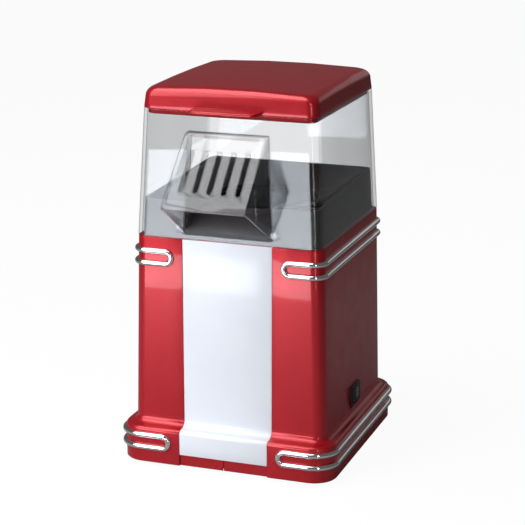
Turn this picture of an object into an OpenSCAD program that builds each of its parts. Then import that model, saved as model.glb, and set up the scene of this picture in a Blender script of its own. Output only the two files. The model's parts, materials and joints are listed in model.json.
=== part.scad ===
// Hot-air popcorn maker. Millimetres, +Z up, +X right, front towards -Y.
// The origin lies on the table under the middle of the base.

/* [Base] */
// Width of the base skirt
base_w = 168.6; // [140:0.2:205]
// Depth of the base skirt, front to back
base_d = 173.3; // [144:0.1:208]
// Height of the upright part of the skirt
skirt_h = 25; // [21:0.5:30]
// Radius of the skirt's upright corners
base_r = 18; // [15:0.5:22]
// How far the rubber feet hold the skirt off the table
foot_proud = 2; // [1.5:0.1:4]

/* [Body] */
// Height of the body's top above the skirt's lower edge
body_h = 174.8; // [145:0.1:210]
// Ledge between the skirt and the body at each side
ledge_side = 7.8; // [6.5:0.1:10]
// Ledge between the skirt and the body at the front
ledge_front = 10.9; // [9:0.1:13]
// Ledge between the skirt and the body at the back
ledge_back = 11.4; // [9.5:0.1:13.6]
// How far each side leans in from the ledge to the top
body_draft = 3.6; // [2:0.1:4.4]
// Radius of the body's upright corners
body_r = 9.5; // [7.5:0.5:11.5]
// Wall of the body shells
wall = 3; // [2.6:0.1:4]
// Width of the white front panel
panel_w = 70; // [58:0.5:84]
// Thickness of the front panel
panel_t = 1.6; // [1.2:0.1:2]
// Height of the red strip left under the front panel
panel_low = 9; // [6:0.5:14]

/* [Chrome trims] */
// Diameter of the chrome rods
rod_d = 4.2; // [3.4:0.1:5.1]
// Distance between the two rods of a trim
rod_pitch = 9.6; // [8:0.1:11.5]
// Distance from the body's top to the upper rod
upper_trim_drop = 10.5; // [8:0.5:13]
// Height of the lower rod above the skirt's lower edge
lower_trim_h = 12.4; // [10:0.2:15]
// Distance of a trim's closed end from the middle
trim_end_x = 44; // [43:0.5:47]

/* [Dome] */
// Height of the clear dome
dome_h = 95.5; // [79:0.5:115]
// How far the dome's sides lean in
dome_taper_x = 4.9; // [3:0.1:6]
// How far the dome's front and back lean in
dome_taper_y = 3.5; // [2:0.1:6]
// Wall of the dome
dome_t = 2.5; // [2:0.1:3]

/* [Chute] */
// Width of the dome's front opening at its lower edge
gate_w = 70; // [58:0.5:76]
// How much narrower the opening is at its upper edge
gate_taper = 7.2; // [0:0.1:9]
// Height of the opening's lower edge above the dome's lower edge
gate_low = 3.6; // [3:0.1:8]
// Height of the front opening
gate_h = 77.5; // [64.5:0.5:80]
// How far the chute stands out in front of the dome
chute_reach = 46.2; // [38:0.1:56]
// Height of the chute's lip above the opening's lower edge
chute_lip_h = 30.5; // [25:0.5:37]
// Wall of the chute
chute_t = 2.4; // [2:0.1:3]
// Number of slots in the chute's front plate
slot_n = 5; // [3:1:6]
// Distance between slots
slot_pitch = 10.8; // [9:0.1:11.3]
// Width of a slot
slot_w = 4; // [2.5:0.1:5]

/* [Lid] */
// Height of the lid at its edge
lid_h = 17.2; // [14:0.1:20.6]
// How much the lid's top is crowned
lid_crown = 1.2; // [0.8:0.1:2]
// Wall of the lid
lid_t = 2.4; // [2:0.1:3]
// Width of the lifting tab
tab_w = 53; // [44:0.5:64]
// How far the lifting tab stands out
tab_reach = 14; // [11.5:0.1:17]
// Length of the lid's hinge knuckle
knuckle_w = 40; // [33:1:48]
// Diameter of the lid's hinge pin
pin_d = 3; // [2.5:0.1:3.6]

/* [Popping unit] */
// Outer diameter of the popping chamber
chamber_d = 86; // [71:0.5:92]
// Air gap around the popping chamber
air_gap = 5.2; // [4.5:0.1:6.5]
// Diameter of the motor can
motor_d = 36; // [30:0.1:43.2]
// Length of the motor can
motor_len = 42; // [35:0.5:44]
// Diameter of the motor shaft
shaft_d = 3.17; // [2.6:0.01:3.8]
// Number of fan blades
blade_n = 12; // [8:1:14]

/* [Switch] */
// Height of the switch above the skirt's lower edge
switch_z = 43; // [41.5:0.5:52]
// Distance of the switch behind the base's middle
switch_y = 0; // [-5:0.5:25]
// Length of the switch bezel
bezel_l = 22; // [21:0.5:26]
// Height of the switch bezel
bezel_h = 15; // [14:0.5:18]
// Tilt of the rocker to each side, in degrees
rocker_tilt = 8; // [5:0.5:10]

/* [Clearances] */
// Radial clearance of a turning shaft or pin
run_gap = 0.05; // [0.03:0.01:0.08]
// Gap between pieces that lift or slide apart
slip_gap = 0.6; // [0.4:0.1:0.8]
// Gap between pieces that are fixed side by side
fix_gap = 0.1; // [0.05:0.01:0.2]

/* [Hidden] */
$fn = 64;
hull_fn = 32;
eps = 0.01;
far = 400;

// Heights from the table up
base_z = foot_proud;
skirt_z = base_z + skirt_h;
ledge_h = 8;
ledge_z = skirt_z + ledge_h;
body_z = base_z + body_h;
rim_z = body_z + dome_h;
lid_top_z = rim_z + lid_h + lid_crown;

// Plan sizes. The body stands a little behind the base's middle.
base_front = -base_d / 2;
body_front = base_front + ledge_front;
body_back = base_d / 2 - ledge_back;
body_d = body_back - body_front;
body_y = (body_front + body_back) / 2;
body_w_low = base_w - 2 * ledge_side;
body_w_top = body_w_low - 2 * body_draft;
dome_w_top = body_w_top - 2 * dome_taper_x;
dome_d_top = body_d - 2 * dome_taper_y;
dome_r = body_r - 1;
dome_lean = dome_taper_y / dome_h;
lid_front = body_y - dome_d_top / 2;
lid_back = body_y + dome_d_top / 2;

// Bottom plate and feet
plate_t = 2.5;
foot_h = foot_proud + 1.5;
plate_top = foot_h + plate_t;
foot_r = 7.5;
foot_peg_r = 2.4;
foot_x = base_w / 2 - 30;
foot_y = base_d / 2 - 20;
boss_r = 4.2;
boss_h = 12;
boss_in = (base_r - wall - boss_r - 0.4) * cos(45);
boss_x = base_w / 2 - base_r + boss_in;
boss_y = base_d / 2 - base_r + boss_in;
screw_r = 1.4;
pilot_r = screw_r + run_gap;
head_r = 3;
head_h = 1.2;
seam_half = 0.15;
case_screw_z = [skirt_z + 24, (skirt_z + body_z) / 2 + 8, body_z - 24];
lap_w = 8;
lap_t = 5;

// Popping unit, stacked from the bottom plate up
unit_y = body_y + 6;
chamber_r = chamber_d / 2;
chamber_t = 1.2;
duct_r = chamber_r + air_gap;
duct_t = 1;
motor_z = plate_top + 18;
motor_top = motor_z + motor_len;
fan_base_t = 3;
fan_floor = motor_top + fan_base_t;
fan_h = 31;
fan_top = fan_floor + fan_h;
fan_r = duct_r - 0.3;
fan_wall = 2.4;
fan_hub_r = 7;
blade_r = fan_r - fan_wall - 4;
blade_h = 14;
impeller_z = fan_floor + 3.5;
heater_h = 12;
heater_top = fan_top + heater_h;
chamber_z = heater_top + 6;
deck_t = 2.5;
flange_z = body_z + 13;
flange_t = 1.2;
gasket_t = 1.5;
mouth_z = flange_z + flange_t + gasket_t;
collar_h = 3;
collar_drop = 11;
collar_w = 3;
post_angle = 45;
post_dist = fan_r + 11;
post_r = 4.5;
lug_r = 6;
shaft_r = shaft_d / 2;
motor_r = motor_d / 2;
motor_wall = 1.2;
cap_h = 4;
armature_r = motor_r - 6.5;
motor_screw_r = 1.3;
motor_screw_x = 10;
motor_boss_r = 6.5;
board_top = motor_z - 4;
coil_wire = 1.1;
coil_z = fan_top + 6;
coil_rings = 4;
coil_step = (fan_r - 10 - 16) / (coil_rings - 1);
thermostat_h = 5;
thermostat_r = 8;

// Tray
tray_t = 2.2;
tray_gap = 1.2;
tray_front_z = body_z + 27.6;
tray_back_z = body_z + 32;
mouth_r = chamber_r - chamber_t;
lane_half = gate_w / 2 - 1;
lane_low = body_z + gate_low + 0.4;
lane_ridge_y = body_front + 24;
lane_ridge_z = mouth_z + tray_t;
tray_start = body_front + dome_t + tray_gap + dome_lean * gate_low;

// Chute and opening. Places on the dome's front face.
gate_z = body_z + gate_low;
gate_top = gate_z + gate_h;
function dome_face(z) = body_front + dome_lean * (z - body_z);
chute_side = gate_w / 2 - slip_gap;
chute_side_top = chute_side - gate_taper / 2;
chute_top_z = gate_top - slip_gap;
chute_top_out = 6;
chute_top_y = dome_face(chute_top_z) - chute_top_out;
chute_lip_y = dome_face(gate_z) - chute_reach;
chute_lip_z = gate_z + chute_lip_h;
chute_low_z = gate_z + slip_gap;
chute_in = dome_t + 1;
plate_run = norm([chute_lip_y - chute_top_y, chute_lip_z - chute_top_z]);
plate_angle = atan2(chute_top_z - chute_lip_z, chute_top_y - chute_lip_y);
slot_from = 0.24;
slot_to = 0.74;

// Hinge behind the dome's upper edge
knuckle_r = pin_d / 2 + 2.3;
ear_r = knuckle_r + 0.2;
ear_w = 8;
hinge_y = lid_back + ear_r + 0.6;
hinge_z = rim_z + 0.9;
pin_r = pin_d / 2;

// Pegs of the front panel, on each side of the seam
panel_peg_x = panel_w * 0.38;
panel_peg_z = [ledge_z + 16, body_z - 16];

// Trims
rod_r = rod_d / 2;
rod_off = rod_r / 3;
peg_r = 1.2;
peg_in = 2.4;
peg_y = 40;
upper_hi = body_z - upper_trim_drop;
upper_lo = upper_hi - rod_pitch;
lower_lo = base_z + lower_trim_h;
lower_hi = lower_lo + rod_pitch;

// Switch
switch_h = base_z + switch_z;
bezel_t = 2;
bezel_wall = 1.9;
socket_l = bezel_l - 3;
socket_h = bezel_h - 2;
socket_in = 18;
rocker_l = bezel_l - 2 * bezel_wall - 2;
rocker_h = bezel_h - 2 * bezel_wall - 0.4;
rocker_front = 2.2;
rocker_back = 4.5;
trunnion_r = 1.5;
trunnion_l = 1.2;
lens_depth = 0.8;
lens_rim = 1.2;
function half_w(z) = body_w_low / 2 - body_draft * (z - ledge_z) / (body_z - ledge_z);
bezel_x = half_w(switch_h + bezel_h / 2) - 0.1;

// Mains inlet in the back of the skirt
inlet_z = base_z + skirt_h / 2;
inlet_bore_r = 3.5;
inlet_neck_r = 5.5;
inlet_flange_r = 8;
inlet_len = 14;

// Terminal block and leads. The block stands clear of the chassis post beside it.
terminal_x = post_dist * cos(post_angle) - post_r - 13;
terminal_y = base_d / 2 - 32;
terminal_size = [24, 14, 10];
lead_r = 1.1;

// ---- Shared shapes ----

module rounded(w, d, r) {
  square([w - 2 * r, d], center = true);
  square([w, d - 2 * r], center = true);
  for (x = [-1, 1], y = [-1, 1])
    translate([x * (w / 2 - r), y * (d / 2 - r)]) circle(r);
}

module block(w, d, r, z1, z2) {
  translate([0, 0, z1]) linear_extrude(z2 - z1) rounded(w, d, r);
}

// A rounded block whose walls lean from one outline to another
module leaning_block(low, high, r, z1, z2) {
  hull() {
    block(low[0], low[1], r, z1, z1 + eps, $fn = hull_fn);
    block(high[0], high[1], r, z2 - eps, z2, $fn = hull_fn);
  }
}

module at_unit() {
  translate([0, unit_y, 0]) children();
}

module disc(r, z1, z2) {
  translate([0, 0, z1]) cylinder(r = r, h = z2 - z1);
}

module pipe(r_out, r_in, z1, z2) {
  difference() {
    disc(r_out, z1, z2);
    disc(r_in, z1 - 1, z2 + 1);
  }
}

module corners(x, y) {
  for (i = [-1, 1], j = [-1, 1])
    translate([i * x, j * y, 0]) children();
}

// Turns a profile drawn as (y, z) into a bar that runs along X
module along_x(w) {
  rotate([90, 0, 90]) translate([0, 0, -w / 2]) linear_extrude(w) children();
}

module ring(r, wire) {
  rotate_extrude() translate([r, 0]) circle(wire);
}

// ---- Body ----

// Front outline from the top down, over the ledge and down the skirt
function front_line() = [
  [body_front, body_z], [body_front, ledge_z],
  [body_front - ledge_front * 0.19, skirt_z + 5.4],
  [body_front - ledge_front * 0.6, skirt_z + 3],
  [base_front, skirt_z],
  [base_front, base_z + panel_low]
];

// The front panel's section, moved out and in by the given amounts
module panel_section(out, back, low) {
  line = front_line();
  n = len(line);
  polygon(concat(
    [for (p = line) [p[0] - out, p[1] == base_z + panel_low ? p[1] - low : p[1]]],
    [for (i = [n - 1:-1:0]) [line[i][0] + back, i == n - 1 ? line[i][1] - low : line[i][1]]]
  ));
}

module body_outside() {
  block(base_w, base_d, base_r, base_z, skirt_z);
  deep = ledge_front + ledge_back;
  levels = [[0, 0], [3, 0.4], [5.4, 0.81], [ledge_h, 1]];
  for (i = [0:2])
    hull()
      for (k = [levels[i], levels[i + 1]])
        translate([0, k[1] * body_y, skirt_z + k[0] - eps])
          linear_extrude(eps)
            rounded(
              base_w - 2 * ledge_side * k[1], base_d - deep * k[1],
              base_r + (body_r - base_r) * k[1], $fn = hull_fn
            );
  translate([0, body_y, 0])
    leaning_block([body_w_low, body_d], [body_w_top, body_d], body_r, ledge_z - eps, body_z);
}

module body_inside() {
  r = body_r - wall;
  block(base_w - 2 * wall, base_d - 2 * wall, base_r - wall, base_z - 1, skirt_z - 1);
  translate([0, body_y, 0])
    leaning_block(
      [body_w_low - 2 * wall, body_d - 2 * wall], [body_w_top - 2 * wall, body_d - 2 * wall],
      r, skirt_z - 2, body_z - deck_t
    );
}

module corner_bosses() {
  web = base_r - boss_in - wall / 2;
  corners(boss_x, boss_y) disc(boss_r, plate_top, plate_top + boss_h);
  for (i = [-1, 1], j = [-1, 1]) {
    translate([i * (boss_x + web / 2), j * boss_y, plate_top + boss_h / 2])
      cube([web, 2, boss_h], center = true);
    translate([i * boss_x, j * (boss_y + web / 2), plate_top + boss_h / 2])
      cube([2, web, boss_h], center = true);
  }
}

// Upright strip behind the seam that the case screws bite into
module seam_lap(gap) {
  translate([seam_half, body_front + wall + gap, ledge_z + 2])
    cube([lap_w, lap_t, body_z - deck_t - ledge_z - 4]);
}

// Grooves and holes that the trims and their pegs sit in, on the right-hand side
module trim_seats() {
  upper_trim(fix_gap);
  lower_trim(fix_gap);
}

module body_half(side) {
  difference() {
    intersection() {
      union() {
        difference() {
          body_outside();
          body_inside();
          along_x(panel_w + 2 * fix_gap) panel_section(10, panel_t + fix_gap, panel_low + 1);
        }
        corner_bosses();
      }
      translate([side > 0 ? seam_half : -far - seam_half, -far / 2, 0]) cube([far, far, far]);
    }
    at_unit() disc(duct_r + duct_t + fix_gap, body_z - 10, body_z + 10);
    corners(boss_x, boss_y) disc(pilot_r, plate_top - 1, plate_top + boss_h - 2);
    mirror([side > 0 ? 0 : 1, 0, 0]) trim_seats();
    for (z = panel_peg_z)
      translate([side * panel_peg_x, body_front, z])
        rotate([-90, 0, 0]) cylinder(r = peg_r + fix_gap, h = 8);
    translate([0, base_d / 2 - 10, inlet_z])
      rotate([-90, 0, 0]) cylinder(r = inlet_neck_r + fix_gap, h = 20);
    if (side > 0) {
      for (z = case_screw_z)
        translate([lap_w / 2, body_front, z]) rotate([-90, 0, 0]) {
          cylinder(r = pilot_r, h = 10);
          cylinder(r = head_r + fix_gap, h = panel_t + head_h + 0.2);
        }
      switch_cutout();
    }
  }
}

module switch_cutout() {
  translate([bezel_x + 5, switch_y, switch_h])
    cube([10, bezel_l + 2 * fix_gap, bezel_h + 2 * fix_gap], center = true);
  translate([bezel_x, switch_y, switch_h])
    cube([20, socket_l + 2 * fix_gap, socket_h + 2 * fix_gap], center = true);
}

module left_body_half() {
  color("crimson") {
    body_half(-1);
    difference() {
      union() {
        seam_lap(fix_gap);
        translate([-lap_w, body_front + wall - 0.5, ledge_z + 2])
          cube([lap_w - seam_half, lap_t + 0.5 + fix_gap, body_z - deck_t - ledge_z - 4]);
        translate([-seam_half - eps, body_front + wall + fix_gap, ledge_z + 2])
          cube([2 * seam_half + 2 * eps, lap_t, body_z - deck_t - ledge_z - 4]);
      }
      for (z = case_screw_z)
        translate([lap_w / 2, body_front, z]) rotate([-90, 0, 0]) cylinder(r = pilot_r, h = 15);
    }
  }
}

module right_body_half() {
  color("crimson") body_half(1);
}

module front_panel() {
  color("white") {
    along_x(panel_w) panel_section(0, panel_t, 0);
    for (side = [-1, 1], z = panel_peg_z)
      translate([side * panel_peg_x, body_front + panel_t / 2, z]) rotate([-90, 0, 0])
        cylinder(r = peg_r, h = panel_t / 2 + wall - panel_t + 1.5);
  }
}

// ---- Bottom ----

module bottom_plate() {
  vent_n = 9;
  vent_pitch = 8;
  color("dimgray") difference() {
    union() {
      block(
        base_w - 2 * wall - 2 * fix_gap, base_d - 2 * wall - 2 * fix_gap,
        base_r - wall, foot_h, plate_top
      );
      at_unit() for (i = [0:3])
        rotate([0, 0, post_angle + 90 * i])
          translate([post_dist, 0, 0]) disc(post_r, plate_top - eps, motor_top);
    }
    corners(boss_x, boss_y) disc(screw_r + 0.2, 0, plate_top + 1);
    corners(foot_x, foot_y) disc(foot_peg_r + 0.05, 0, plate_top + 1);
    at_unit() {
      for (i = [0:vent_n - 1])
        translate([0, (i - (vent_n - 1) / 2) * vent_pitch, foot_h + plate_t / 2])
          cube([54, 4, plate_t + 2], center = true);
      for (i = [0:3])
        rotate([0, 0, post_angle + 90 * i])
          translate([post_dist, 0, 0]) disc(pilot_r, motor_top - 12, motor_top + 1);
    }
  }
}

module rubber_feet() {
  color("black") corners(foot_x, foot_y) {
    disc(foot_r, 0, foot_h);
    disc(foot_peg_r, foot_h - eps, plate_top + 1.5);
  }
}

module screw(z_head, z_tip, up) {
  disc(head_r, up > 0 ? z_head - head_h : z_head, up > 0 ? z_head : z_head + head_h);
  disc(screw_r, min(z_head, z_tip), max(z_head, z_tip));
}

module base_screws() {
  color("silver") corners(boss_x, boss_y) screw(foot_h, plate_top + boss_h - 3, 1);
}

module case_screws() {
  color("silver") for (z = case_screw_z)
    translate([lap_w / 2, body_front + panel_t + head_h + 0.2, z]) rotate([90, 0, 0])
      screw(0, -wall - lap_t + panel_t + head_h + 1, -1);
}

// ---- Chrome trims ----

module rod(from, to, wire) {
  v = to - from;
  translate(from)
    if (abs(v[0]) > abs(v[1])) rotate([0, 90 * sign(v[0]), 0]) cylinder(r = wire, h = abs(v[0]));
    else rotate([-90 * sign(v[1]), 0, 0]) cylinder(r = wire, h = abs(v[1]));
}

// Centre lines run round the right-hand side at half-width hw
module trim_bar(hw, front, back, r, z, wire) {
  x_end = trim_end_x + rod_pitch / 2;
  rod([x_end, front, z], [hw - r, front, z], wire);
  rod([hw, front + r, z], [hw, back - r, z], wire);
  rod([x_end, back, z], [hw - r, back, z], wire);
  translate([hw - r, front + r, z]) rotate([0, 0, -90])
    rotate_extrude(angle = 90) translate([r, 0]) circle(wire);
  translate([hw - r, back - r, z])
    rotate_extrude(angle = 90) translate([r, 0]) circle(wire);
}

module trim_end(y, z, wire) {
  translate([trim_end_x + rod_pitch / 2, y, z]) rotate([90, 0, 0]) rotate([0, 0, 90])
    rotate_extrude(angle = 180) translate([rod_pitch / 2, 0]) circle(wire);
}

module trim_pegs(hw, front, back, z, gap) {
  reach = rod_off + peg_in + gap;
  for (y = [-peg_y, peg_y])
    translate([hw, y, z]) rotate([0, -90, 0]) cylinder(r = peg_r + gap, h = reach);
  translate([trim_end_x + 10, front, z])
    rotate([-90, 0, 0]) cylinder(r = peg_r + gap, h = reach);
  translate([trim_end_x + 10, back, z])
    rotate([90, 0, 0]) cylinder(r = peg_r + gap, h = reach);
}

module trim(hw_hi, hw_lo, front, back, r, hi, lo, gap) {
  wire = rod_r + gap;
  trim_bar(hw_hi, front, back, r, hi, wire);
  trim_bar(hw_lo, front, back, r, lo, wire);
  for (y = [front, back]) trim_end(y, (hi + lo) / 2, wire);
  trim_pegs(hw_hi, front, back, hi, gap);
  trim_pegs(hw_lo, front, back, lo, gap);
}

module upper_trim(gap) {
  trim(
    half_w(upper_hi) + rod_off, half_w(upper_lo) + rod_off,
    body_front - rod_off, body_back + rod_off, body_r + rod_off, upper_hi, upper_lo, gap
  );
}

module lower_trim(gap) {
  trim(
    base_w / 2 + rod_off, base_w / 2 + rod_off,
    base_front - rod_off, base_d / 2 + rod_off, base_r + rod_off, lower_hi, lower_lo, gap
  );
}

module upper_trim_right() {
  color("silver") upper_trim(0);
}

module lower_trim_right() {
  color("silver") lower_trim(0);
}

module upper_trim_left() {
  mirror([1, 0, 0]) upper_trim_right();
}

module lower_trim_left() {
  mirror([1, 0, 0]) lower_trim_right();
}

// ---- Popping unit ----

module popping_chamber() {
  slot_count = 14;
  color("lightgray") at_unit() {
    difference() {
      union() {
        disc(chamber_r, chamber_z, flange_z + flange_t);
        disc(duct_r + duct_t, flange_z, flange_z + flange_t);
      }
      disc(chamber_r - chamber_t, chamber_z + chamber_t, mouth_z);
      for (i = [0:slot_count - 1])
        rotate([0, 0, 360 * i / slot_count])
          translate([chamber_r, 0, chamber_z + 10]) rotate([30, 0, 0])
            cube([6, 13, 1.8], center = true);
    }
  }
}

module chamber_gasket() {
  color("orangered") at_unit() pipe(duct_r, chamber_r, flange_z + flange_t, mouth_z);
}

module air_duct() {
  color("silver") at_unit() pipe(duct_r + duct_t, duct_r, fan_top - collar_drop + collar_h, flange_z);
}

module fan_housing() {
  inlet_n = 10;
  color("ivory") at_unit() difference() {
    union() {
      difference() {
        disc(fan_r, motor_top, fan_top);
        disc(fan_r - fan_wall, fan_floor, fan_top + 1);
      }
      pipe(fan_r + collar_w, fan_r - 1, fan_top - collar_drop, fan_top - collar_drop + collar_h);
      for (i = [0:3])
        rotate([0, 0, post_angle + 90 * i]) {
          translate([post_dist, 0, 0]) disc(lug_r, motor_top, fan_floor);
          translate([post_dist - lug_r, 0, motor_top + fan_base_t / 2])
            cube([2 * lug_r, 2 * lug_r, fan_base_t], center = true);
        }
    }
    disc(motor_boss_r + fix_gap, motor_top - 1, fan_floor + 1);
    for (i = [0:inlet_n - 1])
      rotate([0, 0, 360 * i / inlet_n])
        translate([(motor_r + fan_r) / 2 + 1, 0, 0]) disc(5.5, motor_top - 1, fan_floor + 1);
    for (i = [-1, 1])
      translate([i * motor_screw_x, 0, 0]) disc(motor_screw_r + 0.2, motor_top - 1, fan_floor + 1);
    for (i = [0:3])
      rotate([0, 0, post_angle + 90 * i])
        translate([post_dist, 0, 0]) disc(screw_r + 0.2, motor_top - 1, fan_floor + 1);
  }
}

module coil_shape(wire) {
  for (i = [0:coil_rings - 1])
    translate([0, 0, coil_z]) ring(16 + coil_step * i, wire);
}

module heater_coil() {
  color("dimgray") at_unit() {
    coil_shape(coil_wire);
    for (i = [0:coil_rings - 2])
      rotate([0, 0, 45 + 90 * i]) translate([16 + coil_step * i, 0, coil_z])
        rotate([0, 90, 0]) cylinder(r = coil_wire * 0.8, h = coil_step);
  }
}

module heater_frame() {
  plate = 1.2;
  reach = fan_r - 0.4;
  color("khaki") at_unit() difference() {
    for (a = [0, 90])
      rotate([0, 0, a])
        translate([-reach, -plate / 2, fan_top]) cube([2 * reach, plate, heater_h]);
    coil_shape(coil_wire + 0.1);
  }
}

module thermostat() {
  color("gainsboro") at_unit() {
    disc(thermostat_r, chamber_z - thermostat_h, chamber_z);
    disc(thermostat_r + 2, chamber_z - 1, chamber_z);
  }
}

module thermal_fuse() {
  color("white") at_unit() rotate([0, 0, 45])
    translate([22, 0, coil_z - coil_wire - 2.2]) rotate([0, 90, 0]) cylinder(r = 2, h = 12);
}

module fan_impeller() {
  color("darkslategray") at_unit() difference() {
    union() {
      disc(fan_hub_r, impeller_z, impeller_z + blade_h + 2);
      disc(blade_r, impeller_z, impeller_z + 1.6);
      for (i = [0:blade_n - 1])
        rotate([0, 0, 360 * i / blade_n])
          translate([fan_hub_r - 1.5, 0, impeller_z + 1]) rotate([0, 0, -12])
            translate([0, -0.8, 0]) cube([blade_r - fan_hub_r - 1, 1.6, blade_h - 1]);
    }
    disc(shaft_r, impeller_z - 1, impeller_z + blade_h + 3);
  }
}

// ---- Motor ----

module motor_shaft() {
  color("silver") at_unit() disc(shaft_r, motor_z + 1.5, impeller_z + blade_h + 2);
}

module motor_armature() {
  core_n = 5;
  low = motor_z + cap_h + 8;
  high = motor_top - 9;
  color("peru") at_unit() difference() {
    union() {
      disc(armature_r, low, high);
      disc(shaft_r + 2.4, low - 6, high + 3);
    }
    disc(shaft_r, motor_z, motor_top);
    for (i = [0:core_n - 1])
      rotate([0, 0, 360 * i / core_n])
        translate([armature_r - 1.5, -1, low - 1]) cube([4, 2, high - low + 2]);
  }
}

module motor_can() {
  color("silver") at_unit() difference() {
    union() {
      disc(motor_r, motor_z + cap_h, motor_top);
      disc(motor_boss_r, motor_top - eps, motor_top + 2.5);
    }
    disc(motor_r - motor_wall, motor_z + cap_h - 1, motor_top - 3);
    disc(shaft_r + run_gap, motor_z, motor_top + 4);
    for (i = [-1, 1])
      translate([i * motor_screw_x, 0, 0]) disc(motor_screw_r + run_gap, motor_top - 4, motor_top + 1);
  }
}

module motor_magnets() {
  color("dimgray") at_unit() difference() {
    pipe(motor_r - motor_wall - fix_gap, armature_r + 0.8, motor_z + cap_h + 6, motor_top - 7);
    for (a = [0, 180])
      rotate([0, 0, a]) translate([0, -6, motor_z]) cube([motor_r, 12, motor_len]);
  }
}

module motor_end_cap() {
  color("black") at_unit() {
    difference() {
      union() {
        disc(motor_r, motor_z, motor_z + cap_h);
        disc(motor_r - motor_wall - fix_gap, motor_z + 1, motor_z + cap_h + 2);
      }
      disc(shaft_r + run_gap, motor_z + 1, motor_z + cap_h + 3);
    }
    for (i = [-1, 1])
      translate([i * 8 - 1.2, -0.3, board_top]) cube([2.4, 0.6, motor_z - board_top + eps]);
  }
}

module rectifier_board() {
  color("darkgreen") at_unit() {
    translate([-13, -11, board_top - 1.6]) cube([26, 22, 1.6]);
    for (i = [0:3])
      translate([-9 + 6 * i, 5, board_top - 3.4]) rotate([90, 0, 0]) cylinder(r = 2, h = 10);
  }
}

module motor_screws() {
  color("silver") at_unit() for (i = [-1, 1])
    translate([i * motor_screw_x, 0, 0]) {
      disc(2.3, fan_floor, fan_floor + 1.5);
      disc(motor_screw_r, motor_top - 2.5, fan_floor + eps);
    }
}

module chassis_screws() {
  color("silver") at_unit() for (i = [0:3])
    rotate([0, 0, post_angle + 90 * i])
      translate([post_dist, 0, 0]) screw(fan_floor, motor_top - 10, -1);
}

// ---- Mains parts ----

module terminal_block() {
  color("white") difference() {
    translate([terminal_x - terminal_size[0] / 2, terminal_y - terminal_size[1] / 2, plate_top])
      cube(terminal_size);
    for (i = [-1:1])
      translate([terminal_x + 7 * i, terminal_y, plate_top + 5])
        rotate([90, 0, 0]) cylinder(r = 1.8, h = 30, center = true);
  }
}

// A lead through the given points
module lead(points) {
  for (i = [0:len(points) - 2])
    hull() {
      translate(points[i]) sphere(r = lead_r, $fn = 8);
      translate(points[i + 1]) sphere(r = lead_r, $fn = 8);
    }
}

module wiring() {
  front_of_block = terminal_y - terminal_size[1] / 2 + 3;
  low = plate_top + 5;
  switch_end = bezel_x - socket_in - 8;
  ground = plate_top + 3;
  color("gray") {
    lead([
      [terminal_x + 7, front_of_block, low], [terminal_x + 7, front_of_block - 10, low],
      [switch_end - 4, switch_y + 18, ground], [switch_end - 4, switch_y - 4, switch_h - 12],
      [switch_end, switch_y - 4, switch_h]
    ]);
    lead([
      [terminal_x, front_of_block, low], [terminal_x, front_of_block - 8, low],
      [10, unit_y + 24, ground], [4, unit_y + 13, board_top - 5], [4, unit_y + 9, board_top - 3]
    ]);
    lead([
      [terminal_x - 7, front_of_block, low], [terminal_x - 7, front_of_block - 6, low],
      [-6, unit_y + 24, ground], [-4, unit_y + 14, board_top - 5], [-4, unit_y + 9, board_top - 3]
    ]);
  }
}

module cord_inlet() {
  color("black") translate([0, base_d / 2, inlet_z]) rotate([90, 0, 0])
    difference() {
      union() {
        translate([0, 0, -2.5]) cylinder(r = inlet_flange_r - 2, h = 2.5);
        cylinder(r = inlet_neck_r, h = inlet_len - 2.5);
        translate([0, 0, wall + fix_gap]) cylinder(r = inlet_flange_r, h = 2);
      }
      translate([0, 0, -5]) cylinder(r = inlet_bore_r, h = inlet_len + 10);
    }
}

// ---- Switch ----

// Places the rocker's pivot at the origin, with +Z out of the bezel
module at_switch() {
  translate([bezel_x - rocker_front, switch_y, switch_h]) rotate([90, 0, 90]) children();
}

module switch_housing() {
  inner_l = bezel_l - 2 * bezel_wall;
  inner_h = bezel_h - 2 * bezel_wall;
  color("black") difference() {
    union() {
      translate([bezel_x, switch_y - bezel_l / 2, switch_h - bezel_h / 2])
        cube([bezel_t, bezel_l, bezel_h]);
      translate([bezel_x - socket_in, switch_y - socket_l / 2, switch_h - socket_h / 2])
        cube([socket_in + eps, socket_l, socket_h]);
      for (y = [-6, 0, 6])
        translate([bezel_x - socket_in - 7, switch_y + y - 0.4, switch_h - 2.4]) cube([7 + eps, 0.8, 4.8]);
    }
    translate([bezel_x - 10, switch_y - inner_l / 2, switch_h - inner_h / 2])
      cube([20, inner_l, inner_h]);
    at_switch() rotate([90, 0, 0])
      cylinder(r = trunnion_r + run_gap, h = inner_h + 2 * trunnion_l + 0.4, center = true);
  }
}

// The rocker seen from its end: a shallow V in front of the pivot
module rocker_section(out) {
  half = rocker_l / 2;
  dish = half * tan(rocker_tilt);
  polygon([
    [-half, -rocker_back], [half, -rocker_back], [half, rocker_front + bezel_t + dish + out],
    [0, rocker_front + bezel_t + out], [-half, rocker_front + bezel_t + dish + out]
  ]);
}

module switch_rocker() {
  color("black") at_switch() rotate([0, rocker_tilt, 0]) difference() {
    union() {
      rotate([90, 0, 0]) linear_extrude(rocker_h, center = true) rocker_section(0);
      rotate([90, 0, 0]) cylinder(r = trunnion_r, h = rocker_h + 2 * trunnion_l, center = true);
    }
    lens_block(0);
  }
}

module lens_block(gap) {
  half = rocker_l / 2;
  rotate([90, 0, 0]) linear_extrude(rocker_h - 2 * lens_rim - 2 * gap, center = true)
    intersection() {
      translate([-half + lens_rim + gap, 0]) square([rocker_l - 2 * lens_rim - 2 * gap, 20]);
      difference() {
        rocker_section(0.01);
        translate([0, -lens_depth]) rocker_section(0);
      }
    }
}

module switch_lens() {
  color("darkslategray") at_switch() rotate([0, rocker_tilt, 0]) lens_block(0);
}

// ---- Tray ----

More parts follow.
